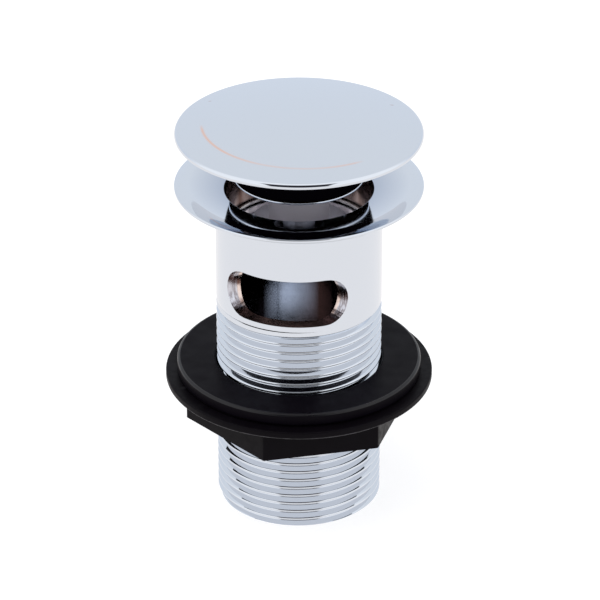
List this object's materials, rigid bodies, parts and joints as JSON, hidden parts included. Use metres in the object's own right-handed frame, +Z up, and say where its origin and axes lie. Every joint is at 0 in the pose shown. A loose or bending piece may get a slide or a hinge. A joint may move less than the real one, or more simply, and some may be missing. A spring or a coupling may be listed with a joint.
{
  "type": "pop up basin waste",
  "caption": "Slotted pop-up basin waste: domed plug on a sprung click mechanism, dished flange, threaded tail, rubber washer, black hexagonal back nut.",
  "frame": {"origin": "centre of the tail's end face, on the waste's axis", "axes": "+Z up along the axis, from the tail's end to the plug; -Y faces the side seen in front in the picture"},
  "size_m": [0.068, 0.068, 0.105],
  "materials": {
    "body_chrome": "polished chrome plate on brass",
    "bridge_chrome": "chrome plate on brass",
    "mechanism_chrome": "chrome plate on brass",
    "plug_chrome": "polished chrome plate on brass",
    "nut_plastic": "satin moulded black nylon",
    "spring_steel": "bright stainless spring steel",
    "black_rubber": "smooth black rubber",
    "washer_rubber": "smooth black rubber with a slight sheen",
    "white_plastic": "moulded acetal"
  },
  "bodies": {
    "waste": {"waste_body": "body_chrome", "mechanism_bridge": "bridge_chrome", "bridge_snap_ring": "spring_steel", "hub_washer": "black_rubber", "clicker_barrel": "mechanism_chrome", "barrel_circlip": "spring_steel", "guide_bush": "white_plastic", "cam_washer": "spring_steel", "spring_seat": "spring_steel", "return_spring": "spring_steel"},
    "plug": {"plug_cap": "plug_chrome", "plug_seal": "black_rubber", "seal_retainer": "plug_chrome", "plug_spindle": "mechanism_chrome", "spring_top_washer": "spring_steel", "plug_lock_nut": "mechanism_chrome", "stop_washer": "black_rubber", "stop_clip": "spring_steel"},
    "cam": {"cam_ring": "white_plastic"},
    "washer": {"basin_washer": "washer_rubber"},
    "nut": {"backnut": "nut_plastic"}
  },
  "joints": [
    {"name": "plug_press", "type": "slide", "parent": "waste", "child": "plug", "axis": [0, 0, 1], "range_m": [-0.012, 0], "stiffness_N_per_m": 600, "springref_m": 0.012, "deforming": ["return_spring"]},
    {"name": "cam_turn", "type": "hinge", "parent": "waste", "child": "cam", "pos_m": [0, 0, 0.0729], "axis": [0, 0, 1], "range_deg": [-0.5, 40.5]},
    {"name": "washer_lift", "type": "slide", "parent": "waste", "child": "washer", "axis": [0, 0, 1], "range_m": [-0.0201, 0.0161]},
    {"name": "nut_turn", "type": "hinge", "parent": "washer", "child": "nut", "pos_m": [0, 0, 0.0296], "axis": [0, 0, 1], "range_deg": [-3118, 2494]}
  ],
  "couplings": [
    {"joint": "cam_turn", "follows": "plug_press", "rad_per_m": -58.178},
    {"joint": "washer_lift", "follows": "nut_turn", "m_per_rad": 0.00036749}
  ]
}
